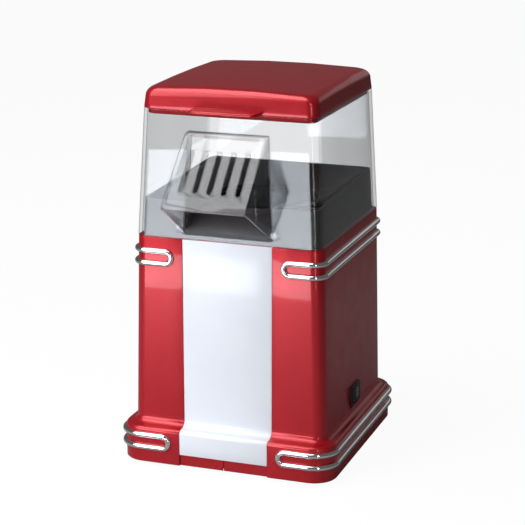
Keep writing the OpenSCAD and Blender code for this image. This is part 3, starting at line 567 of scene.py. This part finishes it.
def half_outline(u, draft, extra):
    """One half's outline at a level, from the front seam round the side to the back seam."""
    side_in, front_in, back_in = body_insets(u)
    half_w = BASE_HALF_W - side_in - draft - extra
    front = BASE_FRONT + front_in + extra
    back = BASE_BACK - back_in - extra
    r = max(BASE_R + (BODY_R - BASE_R) * min(u, 1) - extra, 1.5 * MM)
    lip = 0.3 * MM
    inner = front + RECESS
    edge = PANEL_HALF + PANEL_GAP
    pts = [(SEAM, inner + SEAM_CHAMFER), (SEAM + SEAM_CHAMFER, inner)]
    pts += [(edge * 0.5, inner), (edge, inner), (edge, front + lip)]
    pts += [(edge + lip * 0.3, front + lip * 0.3), (edge + lip, front)]
    pts += [((edge + half_w - r) / 2, front)]
    pts += arc(half_w - r, front + r, r, -90, 0, 12)
    pts += [(half_w, y) for y in (BODY_Y - 45 * MM, switch_lo.y + SOCKET_MARGIN)]
    pts += [(half_w, y) for y in (switch_hi.y - SOCKET_MARGIN, BODY_Y + 45 * MM)]
    pts += arc(half_w - r, back - r, r, 0, 90, 12)
    pts += [(x, back) for x in (half_w * 0.6, half_w * 0.3, inlet_hi.x - 4 * MM)]
    pts += [(SEAM + SEAM_CHAMFER, back), (SEAM, back - SEAM_CHAMFER)]
    return pts


def open_window(obj, lo, hi):
    """Deletes the faces whose middle lies in a box."""
    bm = bmesh.new()
    bm.from_mesh(obj.data)
    gone = [
        f for f in bm.faces
        if all(lo[k] < f.calc_center_median()[k] < hi[k] for k in range(3))
    ]
    bmesh.ops.delete(bm, geom=gone, context="FACES")
    bm.to_mesh(obj.data)
    bm.free()
    return obj


def body_half(name, side, node):
    rings = []
    for z, u, draft, extra in body_levels():
        rings.append([(side * x, y, z) for x, y in half_outline(u, draft, extra)])
    obj = loft(name, rings, closed=False)
    margin = 2 * MM
    open_window(
        obj,
        (inlet_lo.x, BASE_BACK - margin, inlet_lo.z + margin),
        (inlet_hi.x, BASE_BACK + margin, inlet_hi.z - margin),
    )
    if side > 0:
        open_window(
            obj,
            (BODY_HALF_TOP - 1 * MM, switch_lo.y, switch_lo.z - margin),
            (BASE_HALF_W, switch_hi.y, switch_hi.z + margin),
        )
    flip_outwards(obj)
    thicken(obj, WALL)
    smooth(obj, 35)
    return finish_piece(obj, RED, "housing", "body_red", node)


def flip_outwards(obj):
    """Turns an open sheet's normals away from the body's axis."""
    centre = Vector((0, BODY_Y, (BASE_Z + BODY_Z) / 2))
    total = sum(
        f.normal.dot(f.center - centre) * f.area for f in obj.data.polygons
    )
    if total < 0:
        obj.data.flip_normals()


# ---------------------------------------------------------------- front panel

def front_panel():
    """The white panel: one bent sheet down the front, with eased edges."""
    ease = 0.5 * MM
    half = PANEL_HALF
    across = [
        (-half, ease), (-half + ease * 0.3, ease * 0.3), (-half + ease, 0),
        (0, 0), (half - ease, 0), (half - ease * 0.3, ease * 0.3), (half, ease),
    ]
    rings = []
    low = panel_lo.z
    rows = [r for r in body_levels() if r[0] > low and r[3] == 0]
    profile = [(low, body_front_y(0, ease)), (low + ease * 0.3, body_front_y(0, ease * 0.3))]
    profile += [(low + ease, body_front_y(0))]
    profile += [(z, body_front_y(u)) for z, u, _, _ in rows if z > low + ease]
    top = panel_hi.z
    profile = [p for p in profile if p[0] < top - ease * 1.5]
    profile += [
        (top - ease, BODY_FRONT), (top - ease * 0.3, BODY_FRONT + ease * 0.3),
        (top, BODY_FRONT + ease),
    ]
    for z, y in profile:
        rings.append([(x, y + back, z) for x, back in across])
    obj = loft("front_panel_sheet", rings, closed=False)
    flip_outwards(obj)
    thicken(obj, PANEL_T - ease)
    smooth(obj, 40)
    return finish_piece(obj, WHITE, "housing", "panel_white", "front_panel")


# ---------------------------------------------------------------- chrome trims

def trim_path(half_hi, half_lo, front, back, r, z_hi, z_lo):
    """The closed loop of a trim on the right-hand side: out along one rod, back along the other."""
    bend = (z_hi - z_lo) / 2
    x_end = low_trim_lo.x + ROD_R + bend
    mid = (z_hi + z_lo) / 2

    def bar(half, z):
        pts = [(x_end + (half - r - x_end) * t, front, z) for t in (0.0, 0.35, 0.7)]
        pts += [(x, y, z) for x, y in arc(half - r, front + r, r, -90, 0, 12)]
        pts += [(half, front + (back - front) * t, z) for t in (0.25, 0.5, 0.75)]
        pts += [(x, y, z) for x, y in arc(half - r, back - r, r, 0, 90, 12)]
        pts += [(x_end + (half - r - x_end) * t, back, z) for t in (0.7, 0.35, 0.0)]
        return pts

    def turn(y, start):
        return [(x, y, z) for x, z in arc(x_end, mid, bend, start, start + 180, 12)][1:-1]

    back_turn = turn(back, 90)
    front_turn = [(x, y, z) for x, y, z in turn(front, 90)][::-1]
    return bar(half_hi, z_hi) + back_turn + bar(half_lo, z_lo)[::-1] + front_turn


def trim(name, side, half_hi, half_lo, front, back, r, z_hi, z_lo):
    path = trim_path(half_hi, half_lo, front, back, r, z_hi, z_lo)
    obj = tube(name + "_rod", [(side * x, y, z) for x, y, z in path], ROD_R)
    smooth(obj, 60)
    return finish_piece(obj, CHROME, "housing", "chrome", name)


def trims():
    pitch = trim_hi.z - trim_lo.z - 2 * ROD_R
    upper = (trim_lo, trim_hi, BODY_R, BODY_DRAFT * pitch / (BODY_Z - LEDGE_Z))
    lower = (low_trim_lo, low_trim_hi, BASE_R, 0.0)
    for word, (lo, hi, corner, lean) in (("upper", upper), ("lower", lower)):
        half = hi.x - ROD_R
        for side, hand in ((1, "right"), (-1, "left")):
            trim(
                f"{word}_trim_{hand}", side, half - lean, half, lo.y + ROD_R, hi.y - ROD_R,
                corner + ROD_OUT, hi.z - ROD_R, lo.z + ROD_R,
            )


# ---------------------------------------------------------------- dome

def dome_ring(z, inset, r_less=0.0):
    t = (z - BODY_Z) / (RIM_Z - BODY_Z)
    half_w = BODY_HALF_TOP + (LID_HALF_W - BODY_HALF_TOP) * t - inset
    half_d = BODY_HALF_D + (DOME_TOP_HALF_D - BODY_HALF_D) * t - inset
    return level(rounded(half_w, half_d, DOME_R - r_less, 12), z, BODY_Y)


def dome_face(z):
    return BODY_FRONT + DOME_LEAN * (z - BODY_Z)


def gate_tool():
    low, high = GATE_HALF, GATE_HALF - GATE_TAPER
    ring = [(-low, GATE_LOW), (low, GATE_LOW), (high, GATE_TOP), (-high, GATE_TOP)]
    rings = [[(x, y, z) for x, z in ring] for y in (BODY_FRONT - 20 * MM, BODY_FRONT + 30 * MM)]
    return loft("gate_tool", rings, caps=True)


def hinge_ears():
    """Two ears on the dome's back, round the lid's hinge pin."""
    y, z = HINGE_Y, HINGE_Z
    out = []
    for side in (-1, 1):
        x1 = side * pin_hi.x
        x0 = x1 - side * EAR_W
        lo, hi = min(x0, x1), max(x0, x1)
        ear = cylinder_x("ear", y, z, EAR_R, lo, hi)
        web = prism("web", [
            (LID_BACK - 1 * MM, RIM_Z - 0.5 * MM), (y, RIM_Z - 0.5 * MM),
            (y + EAR_R * 0.7, z - EAR_R * 0.7),
            (LID_BACK + 0.9 * MM, RIM_Z - 18 * MM), (LID_BACK - 0.6 * MM, RIM_Z - 18 * MM),
        ], lo, hi)
        out.append(cut(ear, [web], "UNION"))
    return out


def dome():
    edge = 0.5 * MM
    outer = [
        dome_ring(BODY_Z + 0.02 * MM, edge), dome_ring(BODY_Z + edge, 0),
        dome_ring(RIM_Z - edge, 0), dome_ring(RIM_Z - 0.02 * MM, edge),
    ]
    inner = [
        dome_ring(RIM_Z - 0.02 * MM, DOME_T - edge, DOME_T), dome_ring(RIM_Z - edge, DOME_T, DOME_T),
        dome_ring(BODY_Z + edge, DOME_T, DOME_T), dome_ring(BODY_Z + 0.02 * MM, DOME_T - edge, DOME_T),
    ]
    rings = outer + inner
    obj = loft("clear_dome", rings + rings[:1])
    bm = bmesh.new()
    bm.from_mesh(obj.data)
    bmesh.ops.remove_doubles(bm, verts=bm.verts, dist=0.001 * MM)
    bmesh.ops.recalc_face_normals(bm, faces=bm.faces)
    bm.to_mesh(obj.data)
    bm.free()
    cut(obj, [gate_tool()])
    cut(obj, hinge_ears(), "UNION")
    smooth(obj, 28)
    return finish_piece(obj, CLEAR, "dome", "clear", "dome")


# ---------------------------------------------------------------- chute

def chute():
    """A clear wedge: front plate with slots, two side plates, open below and behind."""
    t = CHUTE_T
    side = GATE_HALF - CHUTE_GAP
    top_z = GATE_TOP - CHUTE_GAP
    low_z = GATE_LOW + CHUTE_GAP
    top_y = dome_face(top_z) - CHUTE_TOP_OUT
    lip_y = dome_face(GATE_LOW) - CHUTE_REACH
    lip_z = GATE_LOW + CHUTE_LIP_H
    inside = DOME_T + 1 * MM
    slope = GATE_TAPER / (top_z - low_z)

    def sides(name, inset, y0, y1):
        low = side - inset
        reach = 40 * MM
        high = low - slope * (top_z - low_z)
        foot = low + reach * slope
        ring = [(-foot, low_z - reach), (foot, low_z - reach), (high, top_z), (-high, top_z)]
        return loft(name, [[(x, y, z) for x, z in ring] for y in (y0, y1)], caps=True)

    solid = prism("clear_chute", [
        (dome_face(top_z) + inside, top_z), (top_y, top_z),
        (lip_y, lip_z), (dome_face(low_z) + inside, low_z),
    ], -GATE_HALF * 2, GATE_HALF * 2)
    cut(solid, [sides("sides", 0, -0.3, 0.1)], "INTERSECT")

    run = math.hypot(lip_y - top_y, lip_z - top_z)
    down = ((lip_y - top_y) / run, (lip_z - top_z) / run)
    inward = (-down[1] * t, down[0] * t)
    roof = top_z - t
    under = top_y + inward[0] + down[0] * (inward[1] + t) / -down[1]
    lip = (lip_y + inward[0] + down[0] * 15 * MM, lip_z + inward[1] + down[1] * 15 * MM)
    hollow = prism("hollow", [
        (BODY_Y, roof), (under, roof), lip, (BODY_Y, low_z - 60 * MM),
    ], -GATE_HALF * 2, GATE_HALF * 2)
    cut(hollow, [sides("inner_sides", t, -0.3, 0.1)], "INTERSECT")
    cut(solid, [hollow] + chute_slots(top_y, top_z, down, run))
    tabs = []
    for sign in (-1, 1):
        x = sign * (side + 2 * MM)
        y = dome_face(GATE_LOW) - 1.2 * MM
        z = GATE_LOW + 6.5 * MM
        tab = box_between(
            "tab", (x - 3 * MM, y - 0.8 * MM, z - 4.5 * MM), (x + 3 * MM, y + 0.8 * MM, z + 4.5 * MM)
        )
        tabs.append(tab)
    cut(solid, tabs, "UNION")
    clean(solid)
    bevel(solid, 0.55 * MM, 2, 40)
    smooth(solid, 30)
    return finish_piece(solid, CLEAR, "chute", "clear", "chute")


def chute_slots(top_y, top_z, down, run):
    """Rounded cutters through the front plate."""
    first, last = SLOT_FROM * run, SLOT_TO * run
    normal = (down[1], -down[0])
    tools = []
    for i in range(SLOT_COUNT):
        cx = (i - (SLOT_COUNT - 1) / 2) * SLOT_PITCH
        outline = arc(cx, first, SLOT_W / 2, 180, 360, 12)
        outline += arc(cx, last, SLOT_W / 2, 0, 180, 12)
        rings = []
        for d in (-15 * MM, 15 * MM):
            rings.append([
                (x, top_y + down[0] * s + normal[0] * d, top_z + down[1] * s + normal[1] * d)
                for x, s in outline
            ])
        tools.append(loft("slot_tool", rings, caps=True))
    return tools


# ---------------------------------------------------------------- lid

def lid_height(x, y):
    """Height of the crowned top."""
    fx = min(abs(x) / LID_HALF_W, 1)
    fy = min(abs(y - BODY_Y) / DOME_TOP_HALF_D, 1)
    return LID_CORNER_Z + LID_CROWN_X * (1 - fx * fx) + LID_CROWN_Y * (1 - fy * fy)


def lid():
    """The red lid: upright edge, eased shoulder and a crowned top, hollow below."""
    shoulder = 6.5 * MM
    draft = 0.9 * MM
    foot = 0.5 * MM
    base = RIM_Z + 0.02 * MM
    corner = DOME_R

    def ring(inset, height, r):
        pts = rounded(LID_HALF_W - inset, DOME_TOP_HALF_D - inset, r, 12)
        out = []
        for x, y in pts:
            top = lid_height(x, y + BODY_Y)
            out.append((x, y + BODY_Y, height(top)))
        return out

    def fixed(z):
        return lambda top: z

    rings = [
        ring(3.0 * MM, fixed(base + 3 * MM), corner - 2.5 * MM),
        ring(2.4 * MM, fixed(base), corner - 2 * MM), ring(foot, fixed(base), corner),
        ring(foot * 0.3, fixed(base + foot * 0.3), corner), ring(0, fixed(base + foot), corner),
    ]
    for t in (0.33, 0.66):
        rings.append(ring(
            draft * t, lambda top, t=t: base + foot + (top - shoulder - base - foot) * t, corner
        ))
    for i in range(9):
        a = math.radians(90 * i / 8)
        inset = draft + shoulder * (1 - math.cos(a))
        rings.append(ring(inset, lambda top, a=a: top - shoulder * (1 - math.sin(a)), corner))
    for inset in (9, 14, 22, 32, 44, 56, 64):
        rings.append(ring(draft + inset * MM, lambda top: top, max(corner - inset * 0.1 * MM, 2 * MM)))
    obj = loft("red_lid", rings)
    cap_top(obj, rings[-1])
    cap_under(obj, rings[0])
    smooth(obj, 50)
    parts = [obj, lid_lip(), lid_tab(), lid_knuckle()]
    whole = join("red_lid_whole", parts)
    smooth(whole, 50)
    return finish_piece(whole, RED, "lid", "body_red", "lid")


def cap_top(obj, ring):
    """Closes the crown with a fan to its middle."""
    bm = bmesh.new()
    bm.from_mesh(obj.data)
    bm.verts.ensure_lookup_table()
    n = len(ring)
    last = bm.verts[len(bm.verts) - n:]
    middle = bm.verts.new((0, BODY_Y, lid_height(0, BODY_Y)))
    for i in range(n):
        bm.faces.new((last[i], last[(i + 1) % n], middle))
    bmesh.ops.recalc_face_normals(bm, faces=bm.faces)
    bm.to_mesh(obj.data)
    bm.free()


def cap_under(obj, ring):
    """Closes the underside with a flat web a little above the rim."""
    bm = bmesh.new()
    bm.from_mesh(obj.data)
    bm.verts.ensure_lookup_table()
    bm.faces.new(list(reversed(bm.verts[:len(ring)])))
    bmesh.ops.recalc_face_normals(bm, faces=bm.faces)
    bm.to_mesh(obj.data)
    bm.free()


def lid_lip():
    """The lip that locates the lid inside the dome."""
    t, depth, gap = 1.6 * MM, 4 * MM, 0.6 * MM
    w = LID_HALF_W - DOME_T - gap
    d = DOME_TOP_HALF_D - DOME_T - gap
    r = DOME_R - DOME_T
    z0, z1 = RIM_Z - depth, RIM_Z + 3.2 * MM
    ease = 0.4 * MM
    rings = [
        level(rounded(w, d, r), z1, BODY_Y), level(rounded(w, d, r), z0 + ease, BODY_Y),
        level(rounded(w - ease, d - ease, r), z0, BODY_Y),
        level(rounded(w - t + ease, d - t + ease, r - t), z0, BODY_Y),
        level(rounded(w - t, d - t, r - t), z0 + ease, BODY_Y),
        level(rounded(w - t, d - t, r - t), z1, BODY_Y),
    ]
    return loft("lip", rings)


def lid_tab():
    """The flat lifting tab on the lid's front edge."""
    half, reach, thick = TAB_HALF, TAB_REACH, TAB_T
    z = RIM_Z + 0.6 * MM
    y = LID_FRONT
    outline = [(-half, y + 1.5 * MM), (half, y + 1.5 * MM), (half - 0.6 * MM, y - reach * 0.62)]
    outline += arc(half - 5 * MM, y - reach + 4 * MM, 4 * MM, 0, -90, 6)
    outline += arc(-half + 5 * MM, y - reach + 4 * MM, 4 * MM, -90, -180, 6)
    outline += [(-half + 0.6 * MM, y - reach * 0.62)]
    obj = loft("tab", [level(outline, z), level(outline, z + thick)], caps=True)
    return bevel(obj, 0.8 * MM, 3, 40)


def lid_knuckle():
    y, z, r, half = HINGE_Y, HINGE_Z, KNUCKLE_R, KNUCKLE_HALF
    barrel = cylinder_x("barrel", y, z, r, -half, half)
    web = prism("knuckle_web", [
        (LID_BACK - 1.5 * MM, RIM_Z + 0.4 * MM), (y, RIM_Z + 0.4 * MM),
        (y, z + r), (LID_BACK - 1.5 * MM, z + r),
    ], -half, half)
    return bevel(clean(cut(barrel, [web], "UNION")), 0.4 * MM, 2, 40)


# ---------------------------------------------------------------- CAD copies with eased edges

def eased_copy(node, material, slot, width, angle=30, segments=2):
    """A copy of a CAD node's mesh with whole flat faces and rounded edges, shown in its place."""
    source = frame["nodes"][node]
    obj = bpy.data.objects.new(node + "_eased", source.data.copy())
    bpy.context.scene.collection.objects.link(obj)
    clean(obj)
    if width:
        bevel(obj, width, segments, angle)
    smooth(obj, 32)
    body = next(b for b, members in frame["record"]["behaviour"]["bodies"].items() if node in members)
    return finish_piece(obj, material, body, slot, node)


def show_cad(node, material):
    """Keeps a CAD node's own mesh and gives it a finished material."""
    obj = frame["nodes"][node]
    obj.data.materials.clear()
    obj.data.materials.append(material)
    return obj


# ---------------------------------------------------------------- stage

def area_light(name, azimuth, elevation, distance, size, power, colour=(1, 1, 1), aim=(0, 0, 0.15)):
    """A rectangular softbox that looks at the object from the given direction."""
    data = bpy.data.lights.new(name, "AREA")
    data.shape = "RECTANGLE"
    data.size, data.size_y = size
    data.energy = power
    data.color = colour
    obj = bpy.data.objects.new(name, data)
    bpy.context.scene.collection.objects.link(obj)
    a, e = math.radians(azimuth), math.radians(elevation)
    away = Vector((math.sin(a) * math.cos(e), -math.cos(a) * math.cos(e), math.sin(e)))
    obj.location = Vector(aim) + away * distance
    obj.rotation_euler = away.to_track_quat("Z", "Y").to_euler()
    return obj


def floor():
    """A plain pale floor, lit by itself towards the camera so that it stays near white."""
    half = 6.0
    ring = [(-half, -half), (half, -half), (half, half), (-half, half)]
    bm = bmesh.new()
    bm.faces.new([bm.verts.new((x, y, 0)) for x, y in ring])
    obj = link("floor", bm)
    mat, tree, p = new_material("floor")
    p.inputs["Base Color"].default_value = (0.32, 0.32, 0.32, 1)
    p.inputs["Roughness"].default_value = 0.9
    p.inputs["Specular IOR Level"].default_value = 0.1
    glow = tree.nodes.new("ShaderNodeEmission")
    glow.inputs["Strength"].default_value = 1.18
    path = tree.nodes.new("ShaderNodeLightPath")
    share = tree.nodes.new("ShaderNodeMath")
    share.operation = "MULTIPLY"
    share.inputs[1].default_value = 0.8
    tree.links.new(path.outputs["Is Camera Ray"], share.inputs[0])
    mix = tree.nodes.new("ShaderNodeMixShader")
    tree.links.new(share.outputs["Value"], mix.inputs["Fac"])
    tree.links.new(p.outputs["BSDF"], mix.inputs[1])
    tree.links.new(glow.outputs["Emission"], mix.inputs[2])
    tree.links.new(mix.outputs["Shader"], tree.nodes["Material Output"].inputs["Surface"])
    obj.data.materials.append(mat)
    return obj


def world(camera_white, fill):
    """White behind the object, and a much softer white in reflections and as fill light."""
    scene = bpy.context.scene
    scene.world = bpy.data.worlds.new("studio")
    scene.world.use_nodes = True
    tree = scene.world.node_tree
    out = tree.nodes["World Output"]
    seen = tree.nodes["Background"]
    seen.inputs["Strength"].default_value = camera_white
    around = tree.nodes.new("ShaderNodeBackground")
    around.inputs["Strength"].default_value = fill
    seen.inputs["Color"].default_value = (1, 1, 1, 1)
    around.inputs["Color"].default_value = (1, 1, 1, 1)
    path = tree.nodes.new("ShaderNodeLightPath")
    mix = tree.nodes.new("ShaderNodeMixShader")
    tree.links.new(path.outputs["Is Camera Ray"], mix.inputs["Fac"])
    tree.links.new(around.outputs["Background"], mix.inputs[1])
    tree.links.new(seen.outputs["Background"], mix.inputs[2])
    tree.links.new(mix.outputs["Shader"], out.inputs["Surface"])


def camera():
    """Looks down a little from the front right, with a long lens."""
    azimuth, elevation, distance = math.radians(19.59), math.radians(15.40), 1.36549
    target = Vector((0.00091, 0, 0.14284))
    back = Vector((
        math.sin(azimuth) * math.cos(elevation),
        -math.cos(azimuth) * math.cos(elevation),
        math.sin(elevation),
    ))
    data = bpy.data.cameras.new("camera")
    data.lens = 120.86
    data.sensor_width = 36
    obj = bpy.data.objects.new("camera", data)
    bpy.context.scene.collection.objects.link(obj)
    obj.location = target + back * distance
    obj.rotation_euler = back.to_track_quat("Z", "Y").to_euler()
    bpy.context.scene.camera = obj


# ---------------------------------------------------------------- assembly

bpy.context.scene.view_settings.view_transform = "Standard"
camera()
floor()
world(1.0, 0.10)
area_light("front_card", -20, 0, 0.6, (0.42, 0.17), 1.2, (0.90, 0.95, 1.0), (0, 0, 0.087))
area_light("key", -38, 26, 1.4, (0.9, 0.9), 8)
area_light("top_box", -50, 66, 1.3, (0.9, 0.9), 11)
area_light("right_strip", 36, 12, 1.2, (0.05, 0.9), 1.6)
area_light("back_card", 161, 16, 1.6, (1.2, 0.4), 0.5)

body_half("body_shell_right", 1, "right_body_half")
body_half("body_shell_left", -1, "left_body_half")
front_panel()
trims()
dome()
chute()
lid()

eased_copy("popcorn_tray", TRAY, "tray_dark", 0.5 * MM, 30)
eased_copy("switch_housing", BLACK, "black_plastic", 0.35 * MM, 40)
eased_copy("switch_rocker", BLACK, "black_plastic", 0.3 * MM, 40)
eased_copy("bottom_plate", PLATE, "plate_dark", 0.3 * MM, 50, 1)
eased_copy("rubber_feet", RUBBER, "rubber_black", 0.5 * MM, 50)
eased_copy("cord_inlet", RUBBER, "rubber_black", 0.4 * MM, 50)

for cad_node, finish in {
    "switch_lens": LENS, "lid_hinge_pin": STEEL, "popping_chamber": CHAMBER_SHADED_METAL,
    "chamber_gasket": SILICONE, "air_duct": TINPLATE, "heater_frame": MICA,
    "heater_coil": WIRE, "thermostat": TINPLATE, "thermal_fuse": CERAMIC,
    "fan_housing": IVORY, "fan_impeller": PLATE, "motor_shaft": STEEL,
    "motor_armature": COPPER, "motor_can": STEEL, "motor_magnets": MAGNET,
    "motor_end_cap": BLACK, "rectifier_board": BOARD, "motor_screws": STEEL,
    "chassis_screws": STEEL, "base_screws": STEEL, "case_screws": STEEL,
    "terminal_block": NYLON, "wiring": LEAD,
}.items():
    show_cad(cad_node, finish)
